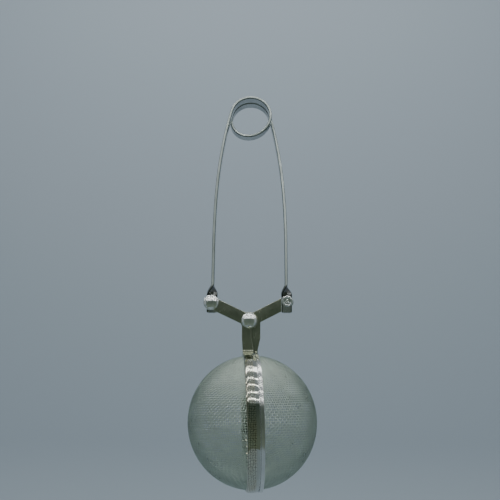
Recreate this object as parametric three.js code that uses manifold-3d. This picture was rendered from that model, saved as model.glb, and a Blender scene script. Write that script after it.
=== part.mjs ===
// Mesh tea infuser with a spring handle: two woven cups that open like tongs when the handle is squeezed.
// Millimetres. +Z up, +X right, +Y away from the front. The origin is the centre of the hanging loop.
import * as THREE from "three";
import { mergeVertices } from "three/addons/utils/BufferGeometryUtils.js";
import Module from "manifold-3d";

const wasm = await Module();
wasm.setup();

const GAP = 0.3; // air between pieces that touch on the real object

// Handle: one flat spring strip, wound into a loop of one and a half turns.
const STRIP_WIDTH = 4.2;
const STRIP_THICKNESS = 1.15;
const LOOP_OUTER_RADIUS = 9.2;
const LOOP_RADIUS = LOOP_OUTER_RADIUS - STRIP_THICKNESS / 2;
const LOOP_LAYER_Y = STRIP_WIDTH / 2 + 0.2; // the front turn lies at -y, the back turn at +y
const LEAVING_ANGLE = THREE.MathUtils.degToRad(15); // where an arm leaves the loop, above the horizontal
const ARM_SPREAD_X = 15;
const ARM_BEND_REACH = 20; // length of the bend's handle at the loop
const ARM_BEND_Z = -37;
const ARM_STRAIGHT_Z = -59; // the arm runs straight down from here
const TWIST_TOP_Z = -74.7;
const TWIST_BOTTOM_Z = -78.8;
const TWIST_POWER = 1.3; // the twist starts gently and ends fast, which makes a straight-sided flare
const TAB_X = 15.2;
const TAB_END_Z = -86.2;
const TAB_WIDTH = 4.4;
const TAB_CORNER = 0.8;

// Links: flat plates that turn on the rivets, each with a shank and a foot soldered to its cup's rim.
const RIVET_X = 15.4;
const LEFT_RIVET_Z = -82.3;
const RIGHT_RIVET_Z = -81.5;
const PIVOT_Z = -89.5;
const LINK_THICKNESS = 1.0;
// The left link and the right arm's tab lie at -y, the right link and the left arm's tab at +y.
const LAYER_Y = (STRIP_THICKNESS + LINK_THICKNESS) / 4 + GAP / 2;
const LINK_WIDTH = 4.9;
const RIVET_EYE_RADIUS = 2.65;
const PIVOT_EYE_RADIUS = 3.5;
const SHANK_WIDTH = 3.8;
const LEFT_SHANK_X = -0.95;
const RIGHT_SHANK_X = 2.7;
const SHANK_TAPER_Z = -96.3;
const SHANK_END_Z = -101.0;
const LEFT_FOOT_X = -0.3;
const LEFT_FOOT_WIDTH = 4.4;
const RIGHT_FOOT_X = 2.75;
const RIGHT_FOOT_WIDTH = 1.7;
const FOOT_THICKNESS = 0.8;
const FOOT_ARC = THREE.MathUtils.degToRad(24);
const FOOT_BEND_REACH = 1.9; // how far in Y the bend takes before the foot lies along the rim

// Rivets: tubular, with a domed head on one side and a rolled tail on the other. The right one is turned
// round, so its tail is at the front and its smaller head at the back.
const PIN_RADIUS = 1.0;
const PIN_HOLE_RADIUS = PIN_RADIUS + GAP;
const PIVOT_SLACK_RADIUS = 1.8; // the right link's hole, where the linkage is left open
const RIVET_REACH = LAYER_Y + STRIP_THICKNESS / 2 + GAP; // from the mid plane to the underside of a head
const HEAD_RADIUS = 3.15;
const HEAD_HEIGHT = 1.6;
const REAR_HEAD_RADIUS = 2.6;
const REAR_HEAD_HEIGHT = 1.2;
const HEAD_EDGE = 0.45;
const TAIL_RADIUS = 2.25;
const TAIL_HOLE_RADIUS = 1.3;
const TAIL_HEIGHT = 0.85;
const TAIL_HOLE_DEPTH = 0.7;
const TAIL_ROUNDING = 0.35;
const TAIL_HOLE_TAPER = 0.3; // the hole narrows by this much to its bottom

// Ball: two mesh cups, each held in a pressed rim. The right rim's skirt slides into the left rim.
const BALL_X = 1.6;
const BALL_Z = -128.3;
const BALL_YAW = THREE.MathUtils.degToRad(3);
const BALL_ROLL = THREE.MathUtils.degToRad(2);
const MESH_RADIUS = 25;
const MESH_THICKNESS = 0.45;
const PARTING_X = 1.3; // the parting plane, off the ball's centre
const RIM_RADIUS = 25.9;
const RIM_THICKNESS = 0.5;
const LEFT_RIM_WIDTH = 4.45;
const RIGHT_RIM_WIDTH = 1.45;
const RIM_WEB = 0.45; // joins the collar to the skirt
const RIM_TURN_IN = 0.45; // the band's outer edge is drawn in towards the mesh
const RIM_FLAT_SHARE = 0.6; // share of the band's width that is flat
const COLLAR_RADIUS = RIM_RADIUS - 0.1;
const SKIRT_RADIUS = 24.95;
const SKIRT_DEPTH = 2.4;

const DRILL_LENGTH = 12; // longer than any stack of plates is thick

// How finely the round and swept pieces are divided.
const ROUND_SEGMENTS = 28;
const RIVET_SEGMENTS = 24;
const RIM_SEGMENTS = 56;
const CUP_SEGMENTS = 40;
const CUP_RINGS = 9;
const DOME_STEPS = 8;
const FOOT_ARC_STEPS = 8;
const LOOP_STEPS = 76;
const ARM_STEPS = 80;
const FOOT_STEPS = 20;

const STEEL = { color: 0xb9bcbd, roughness: 0.22, metalness: 1.0 };
const DULL_STEEL = { color: 0x8f9391, roughness: 0.35, metalness: 1.0 };
const MESH_STEEL = { color: 0xa3a8a2, roughness: 0.4, metalness: 0.9 };

// Booleans -------------------------------------------------------------------

function toSolid(geometry) {
  const bare = geometry.clone();
  bare.deleteAttribute("normal");
  bare.deleteAttribute("uv");
  const merged = mergeVertices(bare, 1e-4);
  return new wasm.Manifold(
    new wasm.Mesh({
      numProp: 3,
      vertProperties: new Float32Array(merged.attributes.position.array),
      triVerts: new Uint32Array(merged.index.array),
    }),
  );
}

function toGeometry(solid) {
  const mesh = solid.getMesh();
  const geometry = new THREE.BufferGeometry();
  geometry.setAttribute("position", new THREE.BufferAttribute(mesh.vertProperties, 3));
  geometry.setIndex(new THREE.BufferAttribute(mesh.triVerts, 1));
  geometry.computeVertexNormals();
  return geometry;
}

// A round disc in a plate, with its axis along Y.
function discAlongY(radius, x, y, z, height) {
  return new THREE.CylinderGeometry(radius, radius, height, ROUND_SEGMENTS).translate(x, y, z);
}

function cutHole(solid, radius, x, z) {
  const drill = new THREE.CylinderGeometry(radius, radius, DRILL_LENGTH, ROUND_SEGMENTS).translate(x, 0, z);
  return solid.subtract(toSolid(drill));
}

// Strips ---------------------------------------------------------------------

// Sweeps a flat section along a path. At each step the path gives the centre, the direction of the
// section's width and the width itself; the thickness stands square to the width and the path.
function sweptStrip(path, thickness, steps) {
  const geometry = new THREE.BoxGeometry(1, 1, 1, 1, 1, steps);
  const position = geometry.attributes.position;
  const delta = 1e-4;
  for (let i = 0; i < position.count; i += 1) {
    const t = position.getZ(i) + 0.5;
    const here = path(t);
    const before = path(Math.max(0, t - delta)).centre;
    const after = path(Math.min(1, t + delta)).centre;
    const along = after.clone().sub(before).normalize();
    const side = here.across.clone().cross(along).normalize();
    const point = here.centre
      .clone()
      .addScaledVector(side, position.getX(i) * thickness)
      .addScaledVector(here.across, position.getY(i) * here.width);
    position.setXYZ(i, point.x, point.y, point.z);
  }
  geometry.computeVertexNormals();
  return geometry;
}

const ALONG_Y = new THREE.Vector3(0, 1, 0);

// The loop: down from the left arm's layer at the front, over the top, round and on to the back layer.
function loopPath(t) {
  const endGap = GAP / LOOP_RADIUS;
  const start = Math.PI - LEAVING_ANGLE - endGap;
  const end = LEAVING_ANGLE - 2 * Math.PI + endGap;
  const angle = start + (end - start) * t;
  const crossing = THREE.MathUtils.smoothstep(-angle, 0, Math.PI);
  const y = -LOOP_LAYER_Y + 2 * LOOP_LAYER_Y * crossing;
  const centre = new THREE.Vector3(LOOP_RADIUS * Math.cos(angle), y, LOOP_RADIUS * Math.sin(angle));
  return { centre, across: ALONG_Y, width: STRIP_WIDTH };
}

// How much narrower each side of the tab is at this distance from its end, for its rounded corners.
function cornerCut(distance) {
  const inside = Math.max(0, TAB_CORNER - distance);
  return TAB_CORNER - Math.sqrt(TAB_CORNER ** 2 - inside ** 2);
}

// An arm: tangent to the loop, bending to run straight down, then twisted a quarter turn into a flat tab.
// The path is the right arm's; the left arm is the same piece turned half way round the vertical.
function armPath() {
  const radial = new THREE.Vector2(Math.cos(LEAVING_ANGLE), Math.sin(LEAVING_ANGLE));
  const leaving = new THREE.Vector2(radial.y, -radial.x);
  const start = radial.multiplyScalar(LOOP_RADIUS);
  const bend = new THREE.CubicBezierCurve(
    start,
    start.clone().addScaledVector(leaving, ARM_BEND_REACH),
    new THREE.Vector2(ARM_SPREAD_X, ARM_BEND_Z),
    new THREE.Vector2(ARM_SPREAD_X, ARM_STRAIGHT_Z),
  );
  const tabY = -LAYER_Y;
  const bendLength = bend.getLength();
  const total = bendLength + ARM_STRAIGHT_Z - TAB_END_Z;
  return (t) => {
    const along = t * total;
    const flat =
      along < bendLength
        ? bend.getPointAt(along / bendLength)
        : new THREE.Vector2(ARM_SPREAD_X, ARM_STRAIGHT_Z - (along - bendLength));
    const z = flat.y;
    const downTwist = (TWIST_TOP_Z - z) / (TWIST_TOP_Z - TWIST_BOTTOM_Z);
    const twist = THREE.MathUtils.clamp(downTwist, 0, 1) ** TWIST_POWER;
    const lean = THREE.MathUtils.smoothstep(-z, 0, -TWIST_BOTTOM_Z);
    const turn = (twist * Math.PI) / 2;
    const x = flat.x + (TAB_X - ARM_SPREAD_X) * twist;
    const y = LOOP_LAYER_Y + (tabY - LOOP_LAYER_Y) * lean;
    return {
      centre: new THREE.Vector3(x, y, z),
      across: new THREE.Vector3(Math.sin(turn), Math.cos(turn), 0),
      width: STRIP_WIDTH + (TAB_WIDTH - STRIP_WIDTH) * twist - 2 * cornerCut(z - TAB_END_Z),
    };
  };
}

function handleArm(rivetZ) {
  const strip = toSolid(sweptStrip(armPath(), STRIP_THICKNESS, ARM_STEPS));
  return toGeometry(cutHole(strip, PIN_HOLE_RADIUS, RIVET_X, rivetZ));
}

// Links ----------------------------------------------------------------------

// A bar of the plate between two points of the XZ plane.
function bar(fromX, fromZ, toX, toZ, width, y) {
  const length = Math.hypot(toX - fromX, toZ - fromZ);
  return new THREE.BoxGeometry(width, LINK_THICKNESS, length)
    .rotateY(Math.atan2(toX - fromX, toZ - fromZ))
    .translate((fromX + toX) / 2, y, (fromZ + toZ) / 2);
}

// The shank: straight from the pivot's eye, then tapered to the width of its foot.
function shank(x, footX, footWidth, y) {
  const half = SHANK_WIDTH / 2;
  const outline = new THREE.Shape([
    new THREE.Vector2(x - half, PIVOT_Z),
    new THREE.Vector2(x - half, SHANK_TAPER_Z),
    new THREE.Vector2(footX - footWidth / 2, SHANK_END_Z),
    new THREE.Vector2(footX + footWidth / 2, SHANK_END_Z),
    new THREE.Vector2(x + half, SHANK_TAPER_Z),
    new THREE.Vector2(x + half, PIVOT_Z),
  ]);
  return new THREE.ExtrudeGeometry(outline, { depth: LINK_THICKNESS, bevelEnabled: false })
    .rotateX(Math.PI / 2)
    .translate(0, y + LINK_THICKNESS / 2, 0);
}

// The foot: bent over towards the front (-1) or the back (+1), it follows the rim's outer surface.
function foot(x, width, y, direction) {
  const radius = RIM_RADIUS + GAP + FOOT_THICKNESS / 2;
  const points = [
    new THREE.Vector3(x, y, SHANK_END_Z + 2 * FOOT_THICKNESS),
    new THREE.Vector3(x, y, SHANK_END_Z + FOOT_THICKNESS),
  ];
  const arcStart = FOOT_BEND_REACH / radius;
  for (let i = 0; i <= FOOT_ARC_STEPS; i += 1) {
    const angle = arcStart + ((FOOT_ARC - arcStart) * i) / FOOT_ARC_STEPS;
    const outward = direction * radius * Math.sin(angle);
    points.push(new THREE.Vector3(x, outward, BALL_Z + radius * Math.cos(angle)));
  }
  const curve = new THREE.CatmullRomCurve3(points, false, "centripetal");
  const across = new THREE.Vector3(1, 0, 0);
  return sweptStrip((t) => ({ centre: curve.getPointAt(t), across, width }), FOOT_THICKNESS, FOOT_STEPS);
}

function link(side) {
  const left = side === "left";
  const rivetX = left ? -RIVET_X : RIVET_X;
  const rivetZ = left ? LEFT_RIVET_Z : RIGHT_RIVET_Z;
  const y = left ? -LAYER_Y : LAYER_Y;
  const shankX = left ? LEFT_SHANK_X : RIGHT_SHANK_X;
  const footX = left ? LEFT_FOOT_X : RIGHT_FOOT_X;
  const footWidth = left ? LEFT_FOOT_WIDTH : RIGHT_FOOT_WIDTH;
  const pieces = [
    discAlongY(RIVET_EYE_RADIUS, rivetX, y, rivetZ, LINK_THICKNESS),
    bar(rivetX, rivetZ, 0, PIVOT_Z, LINK_WIDTH, y),
    discAlongY(PIVOT_EYE_RADIUS, 0, y, PIVOT_Z, LINK_THICKNESS),
    shank(shankX, footX, footWidth, y),
    foot(footX, footWidth - 0.1, y, left ? -1 : 1),
  ];
  let plate = pieces.map(toSolid).reduce((whole, piece) => whole.add(piece));
  plate = cutHole(plate, PIN_HOLE_RADIUS, rivetX, rivetZ);
  return cutHole(plate, left ? PIN_HOLE_RADIUS : PIVOT_SLACK_RADIUS, 0, PIVOT_Z);
}

// Rivets ---------------------------------------------------------------------

// One turned profile, its head towards -Y and its rolled tail towards +Y.
function rivet(headRadius, headHeight) {
  const tailEnd = RIVET_REACH + TAIL_HEIGHT;
  const holeBottom = tailEnd - TAIL_HOLE_DEPTH;
  const points = [new THREE.Vector2(0, -RIVET_REACH - headHeight)];
  for (let i = 1; i <= DOME_STEPS; i += 1) {
    const angle = (i / DOME_STEPS) * (Math.PI / 2);
    const height = HEAD_EDGE + (headHeight - HEAD_EDGE) * Math.cos(angle);
    points.push(new THREE.Vector2(headRadius * Math.sin(angle), -RIVET_REACH - height));
  }
  points.push(new THREE.Vector2(headRadius, -RIVET_REACH));
  points.push(new THREE.Vector2(PIN_RADIUS, -RIVET_REACH));
  points.push(new THREE.Vector2(PIN_RADIUS, RIVET_REACH));
  points.push(new THREE.Vector2(TAIL_RADIUS, RIVET_REACH));
  points.push(new THREE.Vector2(TAIL_RADIUS, tailEnd - TAIL_ROUNDING));
  points.push(new THREE.Vector2(TAIL_RADIUS - TAIL_ROUNDING, tailEnd));
  points.push(new THREE.Vector2(TAIL_HOLE_RADIUS, tailEnd));
  points.push(new THREE.Vector2(TAIL_HOLE_RADIUS - TAIL_HOLE_TAPER, holeBottom));
  points.push(new THREE.Vector2(0, holeBottom));
  return new THREE.LatheGeometry(points, RIVET_SEGMENTS);
}

// Ball -----------------------------------------------------------------------

// Turns a profile of (radius, x) pairs about the ball's own X axis.
function turnedAboutX(profile, segments) {
  const points = profile.map(([radius, x]) => new THREE.Vector2(radius, x));
  return new THREE.LatheGeometry(points, segments).rotateZ(-Math.PI / 2);
}

// A mesh cup as a thin shell, from its rim at edgeX to its pole on side -1 (left) or +1 (right).
function meshCup(edgeX, side) {
  const profile = [];
  const inner = MESH_RADIUS - MESH_THICKNESS;
  const arc = (radius, i) => {
    const edge = Math.acos((side * edgeX) / radius);
    const angle = (edge * i) / CUP_RINGS;
    return [radius * Math.sin(angle), side * radius * Math.cos(angle)];
  };
  for (let i = 0; i <= CUP_RINGS; i += 1) profile.push(arc(MESH_RADIUS, i));
  for (let i = CUP_RINGS; i >= 0; i -= 1) profile.push(arc(inner, i));
  if (side > 0) profile.reverse();
  return turnedAboutX(profile, CUP_SEGMENTS);
}

// The left rim: a wide band that follows the ball, its right edge at the parting plane.
function leftRim() {
  const right = PARTING_X - GAP / 2;
  const left = right - LEFT_RIM_WIDTH;
  const flatEnd = right - LEFT_RIM_WIDTH * RIM_FLAT_SHARE;
  return turnedAboutX(
    [
      [RIM_RADIUS - RIM_THICKNESS, right],
      [RIM_RADIUS - RIM_THICKNESS, flatEnd],
      [RIM_RADIUS - RIM_TURN_IN - RIM_THICKNESS, left],
      [RIM_RADIUS - RIM_TURN_IN, left],
      [RIM_RADIUS, flatEnd],
      [RIM_RADIUS, right],
      [RIM_RADIUS - RIM_THICKNESS, right],
    ],
    RIM_SEGMENTS,
  );
}

// The right rim: a narrow collar outside, and a skirt that slides into the left rim.
function rightRim() {
  const left = PARTING_X + GAP / 2;
  const right = left + RIGHT_RIM_WIDTH;
  return turnedAboutX(
    [
      [SKIRT_RADIUS - RIM_THICKNESS, left - SKIRT_DEPTH],
      [SKIRT_RADIUS, left - SKIRT_DEPTH],
      [SKIRT_RADIUS, left],
      [COLLAR_RADIUS, left],
      [COLLAR_RADIUS, right],
      [COLLAR_RADIUS - RIM_THICKNESS, right],
      [COLLAR_RADIUS - RIM_THICKNESS, left + RIM_WEB],
      [SKIRT_RADIUS - RIM_THICKNESS, left + RIM_WEB],
      [SKIRT_RADIUS - RIM_THICKNESS, left - SKIRT_DEPTH],
    ],
    RIM_SEGMENTS,
  );
}

// Assembly -------------------------------------------------------------------

function piece(name, geometry, finish) {
  const mesh = new THREE.Mesh(geometry, new THREE.MeshStandardMaterial(finish));
  mesh.name = name;
  return mesh;
}

const infuser = new THREE.Group();

infuser.add(piece("handle_coil", sweptStrip(loopPath, STRIP_THICKNESS, LOOP_STEPS), STEEL));
const rightArm = piece("right_handle_arm", handleArm(RIGHT_RIVET_Z), STEEL);
const leftArm = piece("left_handle_arm", handleArm(LEFT_RIVET_Z), STEEL);
leftArm.rotation.z = Math.PI;
infuser.add(rightArm, leftArm);

infuser.add(piece("left_link", toGeometry(link("left")), DULL_STEEL));
infuser.add(piece("right_link", toGeometry(link("right")), DULL_STEEL));

const leftRivet = piece("left_rivet", rivet(HEAD_RADIUS, HEAD_HEIGHT), STEEL);
leftRivet.position.set(-RIVET_X, 0, LEFT_RIVET_Z);
const rightRivet = piece("right_rivet", rivet(REAR_HEAD_RADIUS, REAR_HEAD_HEIGHT), STEEL);
rightRivet.position.set(RIVET_X, 0, RIGHT_RIVET_Z);
rightRivet.rotation.z = Math.PI;
const pivotRivet = piece("pivot_rivet", rivet(HEAD_RADIUS, HEAD_HEIGHT), STEEL);
pivotRivet.position.set(0, 0, PIVOT_Z);
infuser.add(leftRivet, rightRivet, pivotRivet);

const ball = new THREE.Group();
ball.position.set(BALL_X, 0, BALL_Z);
ball.rotation.set(0, -BALL_ROLL, BALL_YAW, "ZYX");
const leftMeshEdge = PARTING_X - GAP / 2 - SKIRT_DEPTH - 2 * GAP;
const rightMeshEdge = PARTING_X + GAP / 2 + RIM_WEB + GAP;
ball.add(piece("left_rim", leftRim(), DULL_STEEL));
ball.add(piece("right_rim", rightRim(), STEEL));
ball.add(piece("left_mesh", meshCup(leftMeshEdge, -1), MESH_STEEL));
ball.add(piece("right_mesh", meshCup(rightMeshEdge, 1), MESH_STEEL));
infuser.add(ball);

export default infuser;
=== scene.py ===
import math

import bmesh
import bpy
import numpy as np
from mathutils import Euler, Matrix, Vector
from mathutils.geometry import tessellate_polygon


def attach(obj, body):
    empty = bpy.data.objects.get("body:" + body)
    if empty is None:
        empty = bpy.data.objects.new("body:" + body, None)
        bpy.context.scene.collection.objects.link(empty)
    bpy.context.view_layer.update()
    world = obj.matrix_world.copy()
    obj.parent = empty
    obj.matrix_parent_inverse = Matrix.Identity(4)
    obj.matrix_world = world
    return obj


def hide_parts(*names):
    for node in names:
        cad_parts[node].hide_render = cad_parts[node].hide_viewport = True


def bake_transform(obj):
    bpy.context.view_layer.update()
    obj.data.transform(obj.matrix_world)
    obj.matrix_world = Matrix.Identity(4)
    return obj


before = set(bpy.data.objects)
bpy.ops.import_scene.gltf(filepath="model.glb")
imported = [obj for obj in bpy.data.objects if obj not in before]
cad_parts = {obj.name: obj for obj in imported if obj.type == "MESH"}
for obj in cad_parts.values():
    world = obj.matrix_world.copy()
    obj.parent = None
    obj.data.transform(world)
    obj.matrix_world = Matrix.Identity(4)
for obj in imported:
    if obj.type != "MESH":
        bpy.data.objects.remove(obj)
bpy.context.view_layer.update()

# The shapes are worked out in millimetres, in the row frame: +Z up, +X right, +Y away from the front,
# with the origin at the centre of the handle's hanging loop.
MM = 0.001

# Handle: one flat spring strip.
STRIP_WIDTH = 4.2
STRIP_THICKNESS = 1.15
STRIP_CORNER = 0.36
LOOP_RADIUS = 9.2 - STRIP_THICKNESS / 2
LOOP_LAYER_Y = 2.3
LEAVING_ANGLE = math.radians(15)
ARM_SPREAD_X = 15.0
ARM_BEND_REACH = 20.0
ARM_BEND_Z = -37.0
ARM_STRAIGHT_Z = -59.0
TWIST_TOP_Z = -74.7
TWIST_BOTTOM_Z = -78.8
TWIST_POWER = 1.3
TAB_X = 15.2
TAB_END_Z = -86.2
TAB_WIDTH = 4.4
TAB_CORNER = 0.8
ARM_BEND_SHARE = 0.7  # share of the steps that the bend has
LOOP_STEPS = 220
ARM_STEPS = 300

# Links, each a plate with a shank and a foot that follows its rim.
RIVET_X = 15.4
LEFT_RIVET_Z = -82.3
RIGHT_RIVET_Z = -81.5
PIVOT_Z = -89.5
LINK_THICKNESS = 1.0
LAYER_Y = (STRIP_THICKNESS + LINK_THICKNESS) / 4 + 0.15
LINK_WIDTH = 4.9
RIVET_EYE_RADIUS = 2.65
PIVOT_EYE_RADIUS = 3.5
SHANK_WIDTH = 3.8
LEFT_SHANK_X = -0.95
RIGHT_SHANK_X = 2.7
SHANK_TAPER_Z = -96.3
SHANK_END_Z = -101.0
LEFT_FOOT_X = -0.3
LEFT_FOOT_WIDTH = 4.4
RIGHT_FOOT_X = 2.75
RIGHT_FOOT_WIDTH = 1.7
FOOT_THICKNESS = 0.8
FOOT_ARC = math.radians(24)
FOOT_BEND_REACH = 1.9
FOOT_END_SHARE = 0.35  # of a foot's width that is left at its rounded end
SHANK_CORNER = 0.2
SHANK_STEPS = 90
PIN_HOLE_RADIUS = 1.25
PIVOT_SLACK_RADIUS = 1.8

# Rivets.
PIN_RADIUS = 1.0
HEAD_RADIUS = 3.15
HEAD_HEIGHT = 1.6
REAR_HEAD_RADIUS = 2.6
REAR_HEAD_HEIGHT = 1.2
HEAD_EDGE_RADIUS = 0.5
TAIL_RADIUS = 2.25
TAIL_BORE_RADIUS = 1.3
TAIL_HEIGHT = 0.85
SEATING = 0.02  # air under a head, so that no two pieces share a surface

# Ball.
BALL_CENTRE = Vector((1.6, 0.0, -128.3))
BALL_TURN = Euler((0.0, math.radians(-2), math.radians(3)), "XYZ")
MESH_RADIUS = 25.0
MESH_PITCH = 0.9
NET_CELLS = 44  # from the pole to beyond the cup's edge
WIRE_RADIUS = 0.135
PARTING_X = 1.3
PARTING_GAP = 0.3
RIM_RADIUS = 25.9
RIM_THICKNESS = 0.5
RIM_TURN_IN = 0.45
LEFT_RIM_WIDTH = 4.45
RIGHT_RIM_WIDTH = 1.45
PRINT_PITCH = 0.6  # of the fine print on the wide rim
PRINT_FADE = 0.68  # share of the rim's width where the print begins to fade
PRINT_END = 0.78
SKIRT_RADIUS = 24.95
SKIRT_DEPTH = 2.4

# Camera, in metres, degrees and millimetres of lens.
CAMERA_PLACE = (0.00013, -0.240, -0.1241)
CAMERA_PITCH = 105
CAMERA_ROLL = 0.5
CAMERA_LENS = 42.9
SENSOR_WIDTH = 36


# Mesh making ------------------------------------------------------------------

def mesh_object(name, points, faces, sharp_angle=35.0, uvs=None):
    """An object from points in millimetres. uvs gives one (u, v) per point."""
    mesh = bpy.data.meshes.new(name)
    mesh.from_pydata((np.asarray(points, float) * MM).tolist(), [], faces)
    mesh.validate()
    mesh.shade_smooth()
    mesh.set_sharp_from_angle(angle=math.radians(sharp_angle))
    if uvs is not None:
        layer = mesh.uv_layers.new(name="length_map")
        corner_points = np.empty(len(mesh.loops), np.int32)
        mesh.loops.foreach_get("vertex_index", corner_points)
        layer.data.foreach_set("uv", np.asarray(uvs, np.float32)[corner_points].ravel())
    made = bpy.data.objects.new(name, mesh)
    bpy.context.scene.collection.objects.link(made)
    return made


def ring_faces(ring_count, ring_size, first=0, closed=False):
    """Quads between successive rings of points."""
    faces = []
    spans = ring_count if closed else ring_count - 1
    for ring in range(spans):
        here = first + ring * ring_size
        after = first + ((ring + 1) % ring_count) * ring_size
        for k in range(ring_size):
            m = (k + 1) % ring_size
            faces.append((here + k, here + m, after + m, after + k))
    return faces


def rounded_section(width, thickness, corner, corner_steps=4, face_steps=4):
    """A closed rounded rectangle, as (across, through) pairs, counter-clockwise."""
    half_width = width / 2 - corner
    half_thickness = thickness / 2 - corner
    section = []
    centres = [(1, 1), (-1, 1), (-1, -1), (1, -1)]
    for quarter, (a, b) in enumerate(centres):
        for step in range(corner_steps + 1):
            angle = (quarter + step / corner_steps) * math.pi / 2
            across = a * half_width + corner * math.cos(angle)
            through = b * half_thickness + corner * math.sin(angle)
            section.append((across, through))
        if quarter % 2 == 0:
            for step in range(1, face_steps):
                across = a * half_width * (1 - 2 * step / face_steps)
                section.append((across, b * thickness / 2))
    return section


def even_places(steps):
    return [i / steps for i in range(steps + 1)]


def swept_strip(name, path, places, corner=STRIP_CORNER):
    """A strip with rounded edges along path(t), which gives (centre, across, width, thickness).

    places are the values of t, from 0 to 1, where a section stands.
    """
    points = []
    uvs = []
    length = 0.0
    last = None
    delta = 1e-4
    for t in places:
        centre, across, width, thickness = path(t)
        along = (path(min(1, t + delta))[0] - path(max(0, t - delta))[0]).normalized()
        side = across.cross(along).normalized()
        section = rounded_section(width, thickness, corner)
        if last is not None:
            length += (centre - last).length
        last = centre
        for a, b in section:
            points.append(centre + across * a + side * b)
            uvs.append((a, length))
    size = len(section)
    faces = ring_faces(len(places), size)
    faces.append(tuple(range(size))[::-1])
    faces.append(tuple((len(places) - 1) * size + k for k in range(size)))
    return mesh_object(name, points, faces, uvs=uvs)


def turned(name, profile, segments, centre=(0, 0, 0), axis="Y", sharp_angle=40.0):
    """Turns (radius, along) pairs about an axis through centre. A radius of nought closes the end."""
    points = []
    rings = []
    for radius, along in profile:
        if radius < 1e-9:
            rings.append([len(points)])
            points.append((0.0, along, 0.0))
            continue
        ring = []
        for k in range(segments):
            angle = 2 * math.pi * k / segments
            ring.append(len(points))
            points.append((radius * math.cos(angle), along, radius * math.sin(angle)))
        rings.append(ring)
    faces = []
    closed = profile[0] == profile[-1] and profile[0][0] > 0
    if closed:
        points = points[: len(points) - segments]
        rings[-1] = rings[0]
    for here, after in zip(rings, rings[1:]):
        for k in range(segments):
            m = (k + 1) % segments
            corners = [here[k % len(here)], here[m % len(here)]]
            corners += [after[m % len(after)], after[k % len(after)]]
            faces.append(tuple(dict.fromkeys(corners)))
    if axis == "X":
        points = [(along, x, z) for x, along, z in points]
    return mesh_object(name, np.array(points) + centre, faces, sharp_angle)


def face_outwards(made):
    """Turns the faces outwards, whichever way the profile ran."""
    work = bmesh.new()
    work.from_mesh(made.data)
    bmesh.ops.recalc_face_normals(work, faces=work.faces)
    work.to_mesh(made.data)
    work.free()
    return made


def arc(centre_x, centre_z, radius, start, end, steps):
    """Points of an arc, angles in radians from +X towards +Z."""
    return [
        (centre_x + radius * math.cos(start + (end - start) * i / steps),
         centre_z + radius * math.sin(start + (end - start) * i / steps))
        for i in range(steps + 1)
    ]


def offset_outline(outline, distance):
    """The outline moved inwards by distance, for a counter-clockwise outline."""
    moved = []
    count = len(outline)
    for i in range(count):
        before = Vector(outline[i - 1])
        here = Vector(outline[i])
        after = Vector(outline[(i + 1) % count])
        first = (here - before).normalized()
        second = (after - here).normalized()
        normal = Vector((-(first.y + second.y), first.x + second.x)).normalized()
        spread = max(0.5, normal.dot(Vector((-first.y, first.x))))
        moved.append(tuple(here + normal * distance / spread))
    return moved


def plate(name, outline, y, thickness, edge=0.16):
    """A plate in the XZ plane with rounded edges."""
    steps = 4
    points = []
    for side in (-1, 1):
        for step in range(steps + 1):
            turn = (step / steps if side < 0 else 1 - step / steps) * math.pi / 2
            inset = edge * (1 - math.sin(turn))
            depth = side * (thickness / 2 - edge * (1 - math.cos(turn)))
            points += [(x, y + depth, z) for x, z in offset_outline(outline, inset)]
    size = len(outline)
    loops = 2 * (steps + 1)
    faces = ring_faces(loops, size)
    for first in (0, (loops - 1) * size):
        rim = [Vector((points[first + k][0], points[first + k][2], 0)) for k in range(size)]
        faces += [tuple(first + k for k in triangle) for triangle in tessellate_polygon([rim])]
    return face_outwards(mesh_object(name, points, faces, 30.0))


def carve(made, operation, tool):
    """Cuts the tool out of a piece, or joins it on, and deletes the tool."""
    step = made.modifiers.new("carve", "BOOLEAN")
    step.operation = operation
    step.solver = "EXACT"
    step.object = tool
    depsgraph = bpy.context.evaluated_depsgraph_get()
    carved = bpy.data.meshes.new_from_object(made.evaluated_get(depsgraph))
    made.modifiers.clear()
    made.data = carved
    made.data.name = made.name
    bpy.data.objects.remove(tool)
    made.data.set_sharp_from_angle(angle=math.radians(35))
    return made


def drill(x, z, radius):
    """A round bar along Y, to cut a hole with."""
    reach = 6.0
    profile = [(0, -reach), (radius, -reach), (radius, reach), (0, reach)]
    return face_outwards(turned("drill", profile, 48, (x, 0, z)))


def smoothstep(value, low, high):
    share = min(1.0, max(0.0, (value - low) / (high - low)))
    return share * share * (3 - 2 * share)


# Handle -----------------------------------------------------------------------

ALONG_Y = Vector((0, 1, 0))


def loop_path(t):
    """One and a half turns, from the left arm in the front layer to the right arm in the back layer."""
    start = math.pi - LEAVING_ANGLE
    end = LEAVING_ANGLE - 2 * math.pi
    angle = start + (end - start) * t
    y = LOOP_LAYER_Y * (2 * smoothstep(-angle, 0, math.pi) - 1)
    centre = Vector((LOOP_RADIUS * math.cos(angle), y, LOOP_RADIUS * math.sin(angle)))
    return centre, ALONG_Y, STRIP_WIDTH, STRIP_THICKNESS


def bezier(corners, t):
    """A point of a cubic Bezier curve."""
    a, b, c, d = corners
    s = 1 - t
    return a * s ** 3 + b * 3 * s * s * t + c * 3 * s * t * t + d * t ** 3


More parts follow.
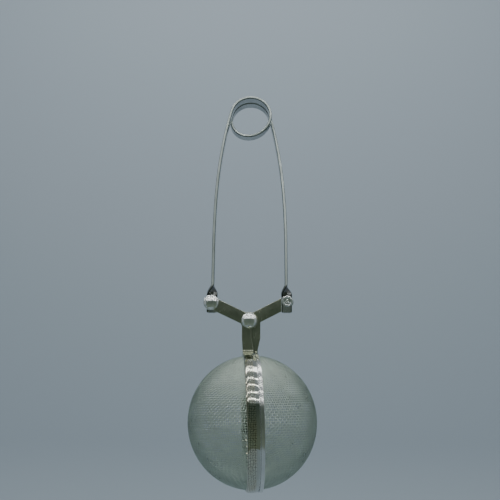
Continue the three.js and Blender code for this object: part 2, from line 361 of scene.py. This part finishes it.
def arm_path(side):
    """The right arm for side 1; the left arm is the same strip turned half way round the vertical."""
    leaving = Vector((math.sin(LEAVING_ANGLE), -math.cos(LEAVING_ANGLE)))
    start = Vector((math.cos(LEAVING_ANGLE), math.sin(LEAVING_ANGLE))) * LOOP_RADIUS
    corners = [
        start,
        start + leaving * ARM_BEND_REACH,
        Vector((ARM_SPREAD_X, ARM_BEND_Z)),
        Vector((ARM_SPREAD_X, ARM_STRAIGHT_Z)),
    ]

    def path(t):
        if t < ARM_BEND_SHARE:
            flat = bezier(corners, t / ARM_BEND_SHARE)
        else:
            down = (t - ARM_BEND_SHARE) / (1 - ARM_BEND_SHARE)
            flat = Vector((ARM_SPREAD_X, ARM_STRAIGHT_Z + (TAB_END_Z - ARM_STRAIGHT_Z) * down))
        down_twist = (TWIST_TOP_Z - flat.y) / (TWIST_TOP_Z - TWIST_BOTTOM_Z)
        twist = min(1.0, max(0.0, down_twist)) ** TWIST_POWER
        lean = smoothstep(-flat.y, 0, -TWIST_BOTTOM_Z)
        turn = twist * math.pi / 2
        x = flat.x + (TAB_X - ARM_SPREAD_X) * twist
        y = LOOP_LAYER_Y + (-LAYER_Y - LOOP_LAYER_Y) * lean
        inside = max(0.0, TAB_CORNER - (flat.y - TAB_END_Z))
        corner_cut = TAB_CORNER - math.sqrt(max(0.0, TAB_CORNER ** 2 - inside ** 2))
        width = STRIP_WIDTH + (TAB_WIDTH - STRIP_WIDTH) * twist - 2 * corner_cut
        centre = Vector((side * x, side * y, flat.y))
        across = Vector((side * math.sin(turn), side * math.cos(turn), 0))
        return centre, across, width, STRIP_THICKNESS

    return path


def arm_places():
    """Even steps down the arm, then closer ones round the tab's corners."""
    corner_share = TAB_CORNER / (ARM_STRAIGHT_Z - TAB_END_Z) * (1 - ARM_BEND_SHARE)
    places = [t for t in even_places(ARM_STEPS) if t < 1 - 1.1 * corner_share]
    corner_steps = 6
    for step in range(corner_steps + 1):
        places.append(1 - corner_share * (1 - math.sin(step / corner_steps * math.pi / 2)))
    return places


# Links ------------------------------------------------------------------------

def link_outline(side, rivet_z):
    """The flat part of a link: a bar from the rivet's eye to the pivot's wider eye."""
    heading = math.atan2(PIVOT_Z - rivet_z, RIVET_X)
    rivet_side = math.asin(LINK_WIDTH / 2 / RIVET_EYE_RADIUS)
    pivot_side = math.asin(LINK_WIDTH / 2 / PIVOT_EYE_RADIUS)
    outline = arc(-RIVET_X, rivet_z, RIVET_EYE_RADIUS, heading + rivet_side,
                  heading + 2 * math.pi - rivet_side, 28)
    turned_heading = heading + math.pi
    outline += arc(0, PIVOT_Z, PIVOT_EYE_RADIUS, turned_heading + pivot_side,
                   turned_heading + 2 * math.pi - pivot_side, 36)
    if side > 0:
        outline = [(-x, z) for x, z in outline][::-1]
    return outline


def shank_path(side, shank_x, foot_x, foot_width):
    """From inside the pivot's eye down to the rim, then bent over and along the rim."""
    y = side * LAYER_Y
    radius = RIM_RADIUS + SEATING + FOOT_THICKNESS / 2
    start_angle = FOOT_BEND_REACH / radius
    straight = PIVOT_Z - SHANK_END_Z

    def place_on_rim(angle):
        return Vector((side * radius * math.sin(angle), BALL_CENTRE.z + radius * math.cos(angle)))

    bend_start = Vector((y, SHANK_END_Z))
    bend_end = place_on_rim(start_angle)
    reach = (bend_start - bend_end).length / 2
    bend_corners = [
        bend_start,
        bend_start + Vector((0, -reach)),
        bend_end - Vector((side * reach, 0)),
        bend_end,
    ]
    bend_length = 2.2 * reach  # near enough the curve's own length
    arc_length = radius * (FOOT_ARC - start_angle)
    total = straight + bend_length + arc_length

    def path(t):
        along = t * total
        if along < straight:
            place = Vector((y, PIVOT_Z - along))
        elif along < straight + bend_length:
            place = bezier(bend_corners, (along - straight) / bend_length)
        else:
            angle = start_angle + (along - straight - bend_length) / radius
            place = place_on_rim(angle)
        taper = min(1.0, max(0.0, (SHANK_TAPER_Z - place.y) / (SHANK_TAPER_Z - SHANK_END_Z)))
        end_round = min(1.0, max(0.0, (along - total + foot_width / 2) / (foot_width / 2)))
        width = SHANK_WIDTH + (foot_width - SHANK_WIDTH) * taper
        width *= FOOT_END_SHARE + (1 - FOOT_END_SHARE) * math.sqrt(1 - end_round ** 2)
        thinning = smoothstep(along, straight, straight + bend_length)
        thickness = LINK_THICKNESS - 2 * SEATING - (LINK_THICKNESS - FOOT_THICKNESS) * thinning
        x = shank_x + (foot_x - shank_x) * taper
        return Vector((x, place.x, place.y)), Vector((1, 0, 0)), width, thickness

    return path


def make_link(name, side, rivet_z, shank_x, foot_x, foot_width, pivot_hole):
    """A plate with its two holes, with the shank and foot joined on below the pivot."""
    flat = plate(name, link_outline(side, rivet_z), side * LAYER_Y, LINK_THICKNESS)
    shank = shank_path(side, shank_x, foot_x, foot_width)
    lower = swept_strip("shank", shank, even_places(SHANK_STEPS), SHANK_CORNER)
    carve(flat, "UNION", face_outwards(lower))
    carve(flat, "DIFFERENCE", drill(side * RIVET_X, rivet_z, PIN_HOLE_RADIUS))
    return carve(flat, "DIFFERENCE", drill(0, PIVOT_Z, pivot_hole))


# Rivets -----------------------------------------------------------------------

def rivet_profile(head_radius, head_height, tail_on):
    """(radius, y) from the top of the domed head, at -Y, to the rolled tail's bore, at +Y."""
    base = LAYER_Y + LINK_THICKNESS / 2 + SEATING
    tail_base = LAYER_Y + tail_on / 2 + SEATING
    edge = HEAD_EDGE_RADIUS
    cap_radius = head_radius - edge * 0.6
    cap_height = head_height - edge * 1.15
    sphere = (cap_radius ** 2 + cap_height ** 2) / (2 * cap_height)
    widest = math.asin(cap_radius / sphere)
    edge_turn = math.radians(115) - widest
    dome_steps = 16
    edge_steps = 9
    roll_steps = 16
    profile = []
    for i in range(dome_steps + 1):
        angle = widest * i / dome_steps
        profile.append((sphere * math.sin(angle), -base - head_height + sphere * (1 - math.cos(angle))))
    for i in range(1, edge_steps + 1):
        angle = math.pi / 2 - widest - edge_turn * i / edge_steps
        profile.append((head_radius - edge + edge * math.cos(angle),
                        -base - edge * 0.45 - edge * math.sin(angle)))
    profile.append((head_radius - edge - 0.1, -base))
    profile.append((PIN_RADIUS, -base))
    profile.append((PIN_RADIUS, tail_base))
    roll = (TAIL_RADIUS - TAIL_BORE_RADIUS) / 2
    roll_centre = (TAIL_RADIUS + TAIL_BORE_RADIUS) / 2
    profile.append((TAIL_RADIUS - 0.25, tail_base))
    for i in range(roll_steps + 1):
        angle = math.radians(-50 + 230 * i / roll_steps)
        profile.append((roll_centre + roll * math.cos(angle),
                        tail_base + TAIL_HEIGHT - roll + roll * math.sin(angle)))
    profile.append((TAIL_BORE_RADIUS - 0.1, tail_base))
    profile.append((PIN_RADIUS - 0.35, tail_base - 0.6))
    profile.append((0.0, tail_base - 0.9))
    return [(0.0, profile[0][1])] + profile[1:]


def make_rivet(name, x, z, head_radius, head_height, tail_on, turned_round=False):
    made = face_outwards(turned(name, rivet_profile(head_radius, head_height, tail_on), 72, sharp_angle=50))
    turn = Matrix.Rotation(math.pi if turned_round else 0.0, 4, "Z")
    made.data.transform(Matrix.Translation(Vector((x, 0, z)) * MM) @ turn)
    return made


# Ball -------------------------------------------------------------------------

BALL_MATRIX = Matrix.Translation(BALL_CENTRE * MM) @ BALL_TURN.to_matrix().to_4x4()


def chebyshev_net(count):
    """A square net of equal edges laid over the sphere from the pole at +X: net[i][j] is a unit vector.

    It is how woven cloth lies over a ball: each cell keeps its four edges and only shears.
    """
    step = MESH_PITCH / MESH_RADIUS
    size = 2 * count + 1
    net = np.full((size, size, 3), np.nan)
    for i in range(-count, count + 1):
        net[count + i, count] = (math.cos(i * step), math.sin(i * step), 0)
        net[count, count + i] = (math.cos(i * step), 0, math.sin(i * step))
    for a in (-1, 1):
        for b in (-1, 1):
            for i in range(count):
                for j in range(count):
                    here = net[count + a * i, count + b * j]
                    first = net[count + a * (i + 1), count + b * j]
                    second = net[count + a * i, count + b * (j + 1)]
                    normal = np.cross(first, second)
                    size_squared = normal @ normal
                    if not size_squared > 1e-12:
                        continue
                    across = here - 2 * (here @ normal) / size_squared * normal
                    if across[0] > -0.2:
                        net[count + a * (i + 1), count + b * (j + 1)] = across
    return net


def wire_line(net_line, parity, lowest_x):
    """Points, and outward directions, of one wire that waves over and under the ones it crosses."""
    count = len(net_line)
    inside = [k for k in range(count) if net_line[k][0] * MESH_RADIUS > lowest_x]
    if len(inside) < 2:
        return None
    first, last = inside[0], inside[-1]
    samples = []
    samples_per_cell = 3
    start, end = float(first), float(last)
    if first > 0 and not np.isnan(net_line[first - 1][0]):
        inner, outer = net_line[first][0] * MESH_RADIUS, net_line[first - 1][0] * MESH_RADIUS
        start = first - (inner - lowest_x) / (inner - outer)
    if last < count - 1 and not np.isnan(net_line[last + 1][0]):
        inner, outer = net_line[last][0] * MESH_RADIUS, net_line[last + 1][0] * MESH_RADIUS
        end = last + (inner - lowest_x) / (inner - outer)
    end_clearance = 0.3  # share of a sample's step that stays free beside each end
    first_sample = math.ceil(start * samples_per_cell + end_clearance)
    last_sample = math.floor(end * samples_per_cell - end_clearance)
    between = [p / samples_per_cell for p in range(first_sample, last_sample + 1)]
    for place in [start] + between + [end]:
        cell = min(int(math.floor(place)), count - 2)
        share = place - cell
        following = net_line[cell + 1] if share > 0 else net_line[cell]
        direction = net_line[cell] * (1 - share) + following * share
        direction = direction / np.linalg.norm(direction)
        height = WIRE_RADIUS * math.cos(math.pi * (place + parity))
        samples.append((direction * (MESH_RADIUS - WIRE_RADIUS * 2 + height), direction))
    return samples


def wire_cloth(name, net, along_first, lowest_x, pole):
    """All the wires of one direction of a cup's mesh."""
    sides = 6
    points = []
    faces = []
    lines = net.shape[0]
    for index in range(lines):
        line = net[:, index] if along_first else net[index, :]
        parity = index + (0 if along_first else 1)
        samples = wire_line(line, parity, lowest_x)
        if samples is None:
            continue
        centres = np.array([s[0] for s in samples])
        outward = np.array([s[1] for s in samples])
        tangent = np.gradient(centres, axis=0)
        tangent /= np.linalg.norm(tangent, axis=1)[:, None]
        sideways = np.cross(tangent, outward)
        sideways /= np.linalg.norm(sideways, axis=1)[:, None]
        upward = np.cross(sideways, tangent)
        first = len(points) * sides
        for centre, u, s in zip(centres, upward, sideways):
            ring = [centre + WIRE_RADIUS * (math.cos(a) * u + math.sin(a) * s)
                    for a in (2 * math.pi * k / sides for k in range(sides))]
            points.append(ring)
        faces += ring_faces(len(centres), sides, first)
        faces.append(tuple(first + k for k in range(sides))[::-1])
        end = first + (len(centres) - 1) * sides
        faces.append(tuple(end + k for k in range(sides)))
    flat = np.array(points).reshape(-1, 3)
    if pole < 0:
        flat = flat * (-1, -1, 1)
    made = mesh_object(name, flat, faces, 60.0)
    made.data.transform(BALL_MATRIX)
    return made


def left_rim_surface():
    """The wide band, slightly crowned, with the weave printed through it except along its parting edge."""
    right = PARTING_X - PARTING_GAP / 2
    left = right - LEFT_RIM_WIDTH
    round_steps = 720
    width_steps = 30
    edge = 0.22
    crown = 0.16
    weave_height = 0.0045
    bumps_round = round(2 * math.pi * RIM_RADIUS / MESH_PITCH)
    profile = []
    for i in range(width_steps + 1):
        share = i / width_steps
        x = left + LEFT_RIM_WIDTH * share
        turn_in = (RIM_TURN_IN - crown) * max(0.0, 1 - share / 0.3) ** 2
        radius = RIM_RADIUS - turn_in - crown * (2 * share - 1) ** 2
        printed = smoothstep(share, 0.06, 0.16) * (1 - smoothstep(share, PRINT_FADE, PRINT_END))
        profile.append((x, radius, weave_height * printed))
    right_radius = RIM_RADIUS - crown
    inside = [
        (right - edge * 0.2, right_radius - edge),
        (right - edge, right_radius - RIM_THICKNESS),
        (right - LEFT_RIM_WIDTH * 0.55, right_radius - RIM_THICKNESS),
        (left + edge, RIM_RADIUS - RIM_TURN_IN - RIM_THICKNESS),
        (left - 0.02, RIM_RADIUS - RIM_TURN_IN - RIM_THICKNESS + 0.12),
        (left - 0.05, RIM_RADIUS - RIM_TURN_IN - 0.15),
    ]
    points = []
    uvs = []
    for k in range(round_steps):
        angle = 2 * math.pi * k / round_steps
        ring = []
        for x, radius, printed in profile:
            weave = math.cos(angle * bumps_round) * math.cos(2 * math.pi * (x - left) / MESH_PITCH)
            ring.append((x, radius + printed * weave))
        ring += inside
        points += [(x, r * math.cos(angle), r * math.sin(angle)) for x, r in ring]
        uvs += [((x - left) / LEFT_RIM_WIDTH, angle) for x, r in ring]
    faces = ring_faces(round_steps, len(profile) + len(inside), closed=True)
    made = face_outwards(mesh_object("left_rim_band", points, faces, 50.0, uvs))
    made.data.transform(BALL_MATRIX)
    return made


def rim_arc(x, radius, size, start, end, steps=4):
    """A rounded corner of a rim's profile, as (radius, x) pairs."""
    return [
        (radius + size * math.sin(math.radians(start + (end - start) * i / steps)),
         x + size * math.cos(math.radians(start + (end - start) * i / steps)))
        for i in range(steps + 1)
    ]


def right_rim_surface():
    """The narrow collar, rolled over at both edges, and the skirt behind it."""
    left = PARTING_X + PARTING_GAP / 2
    outside = RIM_RADIUS - 0.1
    bend = 0.2
    profile = []
    profile += rim_arc(left - SKIRT_DEPTH + 0.1, SKIRT_RADIUS - 0.1, 0.1, 180, 90)
    profile.append((SKIRT_RADIUS, left + 0.05))
    profile += rim_arc(left + bend, outside - bend, bend, 180, 90)
    profile += rim_arc(left + RIGHT_RIM_WIDTH - bend, outside - bend, bend, 90, 0)
    profile.append((outside - RIM_THICKNESS, left + RIGHT_RIM_WIDTH - 0.05))
    profile.append((outside - RIM_THICKNESS, left + 0.5))
    profile.append((SKIRT_RADIUS - RIM_THICKNESS, left + 0.5))
    profile.append((SKIRT_RADIUS - RIM_THICKNESS, left - SKIRT_DEPTH + 0.1))
    profile.append(profile[0])
    made = face_outwards(turned("right_rim_collar", profile, 256, axis="X"))
    made.data.transform(BALL_MATRIX)
    return made


# Materials --------------------------------------------------------------------

CLOUD_SCALE = 160.0  # of the cloudy marks, per metre
GRAIN_DEPTH = 0.00004  # metres


class Nodes:
    """Short names for wiring up one material."""

    def __init__(self, name):
        self.material = bpy.data.materials.new(name)
        self.material.use_nodes = True
        self.tree = self.material.node_tree
        self.shader = self.tree.nodes["Principled BSDF"]

    def add(self, kind, **inputs):
        node = self.tree.nodes.new(kind)
        for key, value in inputs.items():
            node.inputs[key.replace("_", " ")].default_value = value
        return node

    def join(self, source, output, target, input_name):
        self.tree.links.new(source.outputs[output], target.inputs[input_name])

    def place(self, output="Object", stretch=(1, 1, 1)):
        coordinates = self.add("ShaderNodeTexCoord")
        mapping = self.add("ShaderNodeMapping", Scale=stretch)
        self.join(coordinates, output, mapping, "Vector")
        return mapping

    def noise(self, place, scale, detail=3.0, roughness=0.55):
        node = self.add("ShaderNodeTexNoise", Scale=scale, Detail=detail, Roughness=roughness)
        self.join(place, "Vector", node, "Vector")
        return node

    def ramp(self, source, output, stops):
        node = self.add("ShaderNodeValToRGB")
        elements = node.color_ramp.elements
        while len(elements) < len(stops):
            elements.new(0.5)
        for element, (position, colour) in zip(elements, stops):
            element.position = position
            element.color = colour if isinstance(colour, tuple) else (colour, colour, colour, 1)
        self.join(source, output, node, "Fac")
        return node

    def mix(self, blend, first, second, factor=None):
        """Mixes two colours, and gives the result's socket. factor may be a ramp."""
        node = self.add("ShaderNodeMix")
        node.data_type = "RGBA"
        node.blend_type = blend
        node.inputs[0].default_value = 1.0
        for source, socket in ((first, 6), (second, 7)):
            output = source.outputs["Color"] if hasattr(source, "outputs") else source
            self.tree.links.new(output, node.inputs[socket])
        if factor is not None:
            self.tree.links.new(factor.outputs["Color"], node.inputs[0])
        return node.outputs[2]

    def bump(self, source, output, strength, distance):
        node = self.add("ShaderNodeBump", Strength=strength, Distance=distance)
        self.join(source, output, node, "Height")
        self.join(node, "Normal", self.shader, "Normal")
        return node


def tone(colour, factor):
    return tuple(c * factor for c in colour) + (1,)


def steel(name, colour, smoothest, roughest, grain, bump):
    """Stainless steel: a fine grain, stretched by grain's three scales, and cloudy handling marks."""
    n = Nodes(name)
    n.shader.inputs["Metallic"].default_value = 1.0
    grain_noise = n.noise(n.place("Object", grain), 1.0, 4.0, 0.6)
    clouds = n.noise(n.place(), CLOUD_SCALE, 3.0, 0.6)
    roughness = n.add("ShaderNodeMix")
    roughness.data_type = "FLOAT"
    roughness.inputs["Factor"].default_value = 0.45
    n.join(grain_noise, "Fac", roughness, "A")
    n.join(clouds, "Fac", roughness, "B")
    spread = n.ramp(roughness, "Result", [(0.3, smoothest), (0.7, roughest)])
    n.join(spread, "Color", n.shader, "Roughness")
    colours = n.ramp(clouds, "Fac", [(0.3, tone(colour, 0.88)), (0.65, tone(colour, 1.04))])
    n.join(colours, "Color", n.shader, "Base Color")
    n.bump(grain_noise, "Fac", bump, GRAIN_DEPTH)
    return n.material


def strip_steel():
    """The spring strip: lengthwise grain, painted shade along its rounded corners, rougher slit edges
    painted paler as a highlight, and painted shade over the twist.
    """
    n = Nodes("spring_strip_steel")
    n.shader.inputs["Metallic"].default_value = 1.0
    grain = n.noise(n.place("UV", (9.0, 0.25, 1.0)), 1.0, 4.0, 0.6)
    clouds = n.noise(n.place(), CLOUD_SCALE, 3.0, 0.6)
    axes = n.add("ShaderNodeSeparateXYZ")
    n.join(n.add("ShaderNodeTexCoord"), "UV", axes, "Vector")
    across = n.add("ShaderNodeMath")
    across.operation = "ABSOLUTE"
    n.join(axes, "X", across, 0)
    half = STRIP_WIDTH / 2
    share = n.add("ShaderNodeMath")
    share.operation = "DIVIDE"
    share.inputs[1].default_value = half
    n.join(across, "Value", share, 0)
    corner_start = 1 - 1.3 * STRIP_CORNER / half
    edge_start = 1 - 0.1 * STRIP_CORNER / half
    face_grey = tone((0.60, 0.62, 0.61), 1.0)
    # painted shade: the rounded corners are painted near black, standing in for shade and dark reflections
    # along the strip's sides.
    painted_shade_corner_grey = tone((0.13, 0.15, 0.13), 1.0)
    # painted highlight: the slit edge is painted paler than the broad faces, on top of its rougher finish
    # set below.
    painted_highlight_edge_grey = tone((0.66, 0.73, 0.71), 1.0)
    # This ramp across the strip paints the corner shade and the edge highlight.
    painted_corner_shade_and_edge_highlight = n.ramp(share, "Value", [(corner_start, face_grey),
                                          (corner_start + 0.03, painted_shade_corner_grey),
                                          (edge_start - 0.01, painted_shade_corner_grey),
                                          (edge_start, painted_highlight_edge_grey)])
    mottle = n.ramp(clouds, "Fac", [(0.3, 0.86), (0.65, 1.0)])
    heights = n.add("ShaderNodeSeparateXYZ")
    n.join(n.add("ShaderNodeTexCoord"), "Object", heights, "Vector")
    height = n.add("ShaderNodeMapRange")
    height.inputs["From Min"].default_value = (TWIST_BOTTOM_Z - 1.2) * MM
    height.inputs["From Max"].default_value = TWIST_TOP_Z * MM
    n.join(heights, "Z", height, "Value")
    # painted shade: the strip is painted down to 0.3 over the twist, to hide the bright reflections its
    # tilted faces catch.
    painted_twist_shade = n.ramp(height, "Result", [(0.0, 1.0), (0.12, 0.3), (0.8, 0.3), (1.0, 1.0)])
    colour = n.mix("MULTIPLY", painted_corner_shade_and_edge_highlight, mottle)
    n.tree.links.new(n.mix("MULTIPLY", colour, painted_twist_shade), n.shader.inputs["Base Color"])
    edge_roughness = n.ramp(share, "Value", [(edge_start - 0.01, 0.24), (edge_start, 0.5)])
    grain_roughness = n.ramp(grain, "Fac", [(0.3, 0.75), (0.7, 1.25)])
    roughness = n.add("ShaderNodeMath")
    roughness.operation = "MULTIPLY"
    n.join(edge_roughness, "Color", roughness, 0)
    n.join(grain_roughness, "Color", roughness, 1)
    n.join(roughness, "Value", n.shader, "Roughness")
    n.bump(grain, "Fac", 0.2, GRAIN_DEPTH)
    return n.material


def band_steel():
    """The wide rim band: the weave's fine print all round it, and plain metal along its parting edge."""
    n = Nodes("rim_band_steel")
    n.shader.inputs["Metallic"].default_value = 1.0
    print_place = n.place("UV", (LEFT_RIM_WIDTH / PRINT_PITCH, RIM_RADIUS / PRINT_PITCH, 1.0))
    dots = n.add("ShaderNodeTexVoronoi", Scale=1.0, Randomness=0.3)
    dots.voronoi_dimensions = "2D"
    n.join(print_place, "Vector", dots, "Vector")
    clouds = n.noise(n.place(), CLOUD_SCALE, 3.0, 0.6)
    axes = n.add("ShaderNodeSeparateXYZ")
    n.join(n.add("ShaderNodeTexCoord"), "UV", axes, "Vector")
    plain = n.ramp(axes, "X", [(0.0, 0.0), (PRINT_FADE + 0.02, 0.0), (PRINT_END, 1.0), (1.0, 1.0)])
    steel_grey = (0.58, 0.61, 0.53)
    steel_brown = (0.56, 0.54, 0.42)
    patches = n.ramp(clouds, "Fac", [(0.35, tone(steel_grey, 1.0)), (0.65, tone(steel_brown, 1.0))])
    spots = n.ramp(dots, "Distance", [(0.12, 1.35), (0.55, 0.35)])
    printed = n.mix("MULTIPLY", patches, spots)
    plain_grey = (0.50, 0.52, 0.48)
    edge = n.ramp(clouds, "Fac", [(0.3, tone(plain_grey, 0.9)), (0.65, tone(plain_grey, 1.04))])
    colour = n.mix("MIX", printed, edge, plain)
    n.tree.links.new(colour, n.shader.inputs["Base Color"])
    roughness = n.ramp(axes, "X", [(PRINT_FADE, 0.09), (PRINT_END, 0.05)])
    n.join(roughness, "Color", n.shader, "Roughness")
    n.bump(dots, "Distance", 0.3, GRAIN_DEPTH / 4)
    return n.material


def finish_materials():
    return {
        "strip": strip_steel(),
        "link": steel("link_plate_steel", (0.46, 0.48, 0.38), 0.18, 0.3, (900, 900, 300), 0.15),
        "rivet": steel("rivet_nickel", (0.84, 0.87, 0.86), 0.13, 0.22, (700, 700, 700), 0.06),
        "rim": band_steel(),
        "collar": steel("rim_collar_steel", (0.66, 0.68, 0.66), 0.12, 0.24, (600, 250, 250), 0.1),
        "wire": steel("woven_wire_steel", (0.60, 0.68, 0.61), 0.24, 0.4, (400, 400, 400), 0.1),
    }


# Assembly ---------------------------------------------------------------------

def finish_piece(made, material, nodes):
    made.data.materials.clear()
    made.data.materials.append(material)
    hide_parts(*nodes)


def build_handle(materials):
    loop = swept_strip("spring_loop", loop_path, even_places(LOOP_STEPS))
    finish_piece(loop, materials["strip"], ["handle_coil"])
    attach(loop, "handle")
    for side, word, rivet_z in ((-1, "left", LEFT_RIVET_Z), (1, "right", RIGHT_RIVET_Z)):
        arm = swept_strip(word + "_spring_arm", arm_path(side), arm_places())
        carve(arm, "DIFFERENCE", drill(side * RIVET_X, rivet_z, PIN_HOLE_RADIUS))
        finish_piece(arm, materials["strip"], [word + "_handle_arm"])
        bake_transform(arm)


def build_linkage(materials):
    left = make_link("left_link_plate", -1, LEFT_RIVET_Z, LEFT_SHANK_X,
                     LEFT_FOOT_X, LEFT_FOOT_WIDTH, PIN_HOLE_RADIUS)
    right = make_link("right_link_plate", 1, RIGHT_RIVET_Z, RIGHT_SHANK_X,
                      RIGHT_FOOT_X, RIGHT_FOOT_WIDTH, PIVOT_SLACK_RADIUS)
    finish_piece(left, materials["link"], ["left_link"])
    finish_piece(right, materials["link"], ["right_link"])
    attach(left, "left_jaw")
    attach(right, "right_jaw")
    front_head = (HEAD_RADIUS, HEAD_HEIGHT)
    rear_head = (REAR_HEAD_RADIUS, REAR_HEAD_HEIGHT)
    left_rivet = make_rivet("left_rivet_head", -RIVET_X, LEFT_RIVET_Z, *front_head, STRIP_THICKNESS)
    right_rivet = make_rivet("right_rivet_tail", RIVET_X, RIGHT_RIVET_Z, *rear_head, STRIP_THICKNESS, True)
    pivot_rivet = make_rivet("pivot_rivet_head", 0.0, PIVOT_Z, *front_head, LINK_THICKNESS)
    finish_piece(left_rivet, materials["rivet"], ["left_rivet"])
    finish_piece(right_rivet, materials["rivet"], ["right_rivet"])
    finish_piece(pivot_rivet, materials["rivet"], ["pivot_rivet"])
    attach(left_rivet, "left_arm")
    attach(right_rivet, "right_arm")
    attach(pivot_rivet, "left_jaw")


def build_ball(materials):
    band = left_rim_surface()
    finish_piece(band, materials["rim"], ["left_rim"])
    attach(band, "left_jaw")
    collar = right_rim_surface()
    finish_piece(collar, materials["collar"], ["right_rim"])
    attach(collar, "right_jaw")
    net = chebyshev_net(NET_CELLS)
    left_edge = PARTING_X - PARTING_GAP / 2 - SKIRT_DEPTH - 0.5
    right_edge = PARTING_X + PARTING_GAP / 2 + 0.6
    for word, pole, lowest in (("left", -1, -left_edge), ("right", 1, right_edge)):
        for direction, along_first in (("warp", True), ("weft", False)):
            cloth = wire_cloth(f"{word}_mesh_{direction}", net, along_first, lowest, pole)
            finish_piece(cloth, materials["wire"], [word + "_mesh"])
            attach(cloth, word + "_jaw")


# Studio -----------------------------------------------------------------------

def plain_material(name, colour, roughness=0.8):
    n = Nodes(name)
    n.shader.inputs["Base Color"].default_value = colour + (1,)
    n.shader.inputs["Roughness"].default_value = roughness
    return n.material


def build_backdrop():
    """A floor that curves up into a wall behind the object."""
    floor_z = -0.50
    wall_y = 1.25
    top_z = 1.9
    cove = 0.3
    half_width = 2.6
    front_y = -2.2
    cove_steps = 12
    outline = [(front_y, floor_z)]
    for i in range(cove_steps + 1):
        angle = math.pi / 2 * i / cove_steps
        outline.append((wall_y - cove + cove * math.sin(angle), floor_z + cove - cove * math.cos(angle)))
    outline.append((wall_y, top_z))
    points = []
    for y, z in outline:
        points += [(-half_width / MM, y / MM, z / MM), (half_width / MM, y / MM, z / MM)]
    faces = [(2 * i, 2 * i + 1, 2 * i + 3, 2 * i + 2) for i in range(len(outline) - 1)]
    sheet = mesh_object("backdrop", points, faces, 80)
    sheet.data.materials.append(plain_material("backdrop_paint", (0.395, 0.46, 0.515)))


def build_flag():
    """A dark curved card behind the camera, which flat and low-facing steel reflects."""
    radius = 0.5 / MM
    lowest = -42
    highest = 28
    half_sweep = 60
    across_steps = 24
    up_steps = 12
    points = []
    for i in range(up_steps + 1):
        elevation = math.radians(lowest + (highest - lowest) * i / up_steps)
        for k in range(across_steps + 1):
            azimuth = math.radians(-half_sweep + 2 * half_sweep * k / across_steps)
            points.append(BALL_CENTRE + Vector((math.cos(elevation) * math.sin(azimuth),
                                                -math.cos(elevation) * math.cos(azimuth),
                                                math.sin(elevation))) * radius)
    faces = []
    row = across_steps + 1
    for i in range(up_steps):
        for k in range(across_steps):
            here = i * row + k
            faces.append((here, here + 1, here + row + 1, here + row))
    flag = mesh_object("dark_flag", points, faces, 80)
    flag.data.materials.append(plain_material("flag_cloth", (0.26, 0.295, 0.22), 0.95))
    flag.visible_camera = False
    flag.visible_shadow = False


def area_light(name, place, target, size_x, size_y, power, colour=(1, 1, 1)):
    data = bpy.data.lights.new(name, "AREA")
    data.shape = "RECTANGLE"
    data.size = size_x
    data.size_y = size_y
    data.energy = power
    data.color = colour
    made = bpy.data.objects.new(name, data)
    made.location = place
    made.rotation_euler = (Vector(target) - Vector(place)).to_track_quat("-Z", "Y").to_euler()
    bpy.context.scene.collection.objects.link(made)
    return made


def build_lights():
    """Four long overhead strips, which the curved steel shows as a row of bright lines, and a wall light."""
    centre = BALL_CENTRE * MM
    distance = 0.9
    length = 2.2
    width = 0.016
    power = 1.25
    for i, elevation in enumerate((74, 61, 48, 36)):
        angle = math.radians(elevation)
        place = centre + Vector((0, -math.cos(angle), math.sin(angle))) * distance
        area_light(f"strip_light_{i}", place, centre, length, width, power, (1.0, 1.0, 0.98))
    area_light("wall_light", (0, 0.2, 1.5), (0, 1.25, 0.1), 2.0, 0.5, 13.0)


def build_world():
    world = bpy.data.worlds.new("studio")
    world.use_nodes = True
    background = world.node_tree.nodes["Background"]
    background.inputs["Color"].default_value = (0.80, 0.88, 0.92, 1)
    background.inputs["Strength"].default_value = 0.4
    bpy.context.scene.world = world


def build_camera():
    """The camera looks up at the object from the ball's height, and is held very slightly askew."""
    data = bpy.data.cameras.new("camera")
    data.sensor_width = SENSOR_WIDTH
    data.lens = CAMERA_LENS
    made = bpy.data.objects.new("camera", data)
    made.location = CAMERA_PLACE
    pitch = Matrix.Rotation(math.radians(CAMERA_PITCH), 3, "X")
    roll = Matrix.Rotation(math.radians(CAMERA_ROLL), 3, "Z")
    made.rotation_euler = (pitch @ roll).to_euler()
    bpy.context.scene.collection.objects.link(made)
    bpy.context.scene.camera = made


materials = finish_materials()
build_handle(materials)
build_linkage(materials)
build_ball(materials)
build_backdrop()
build_flag()
build_lights()
build_world()
build_camera()
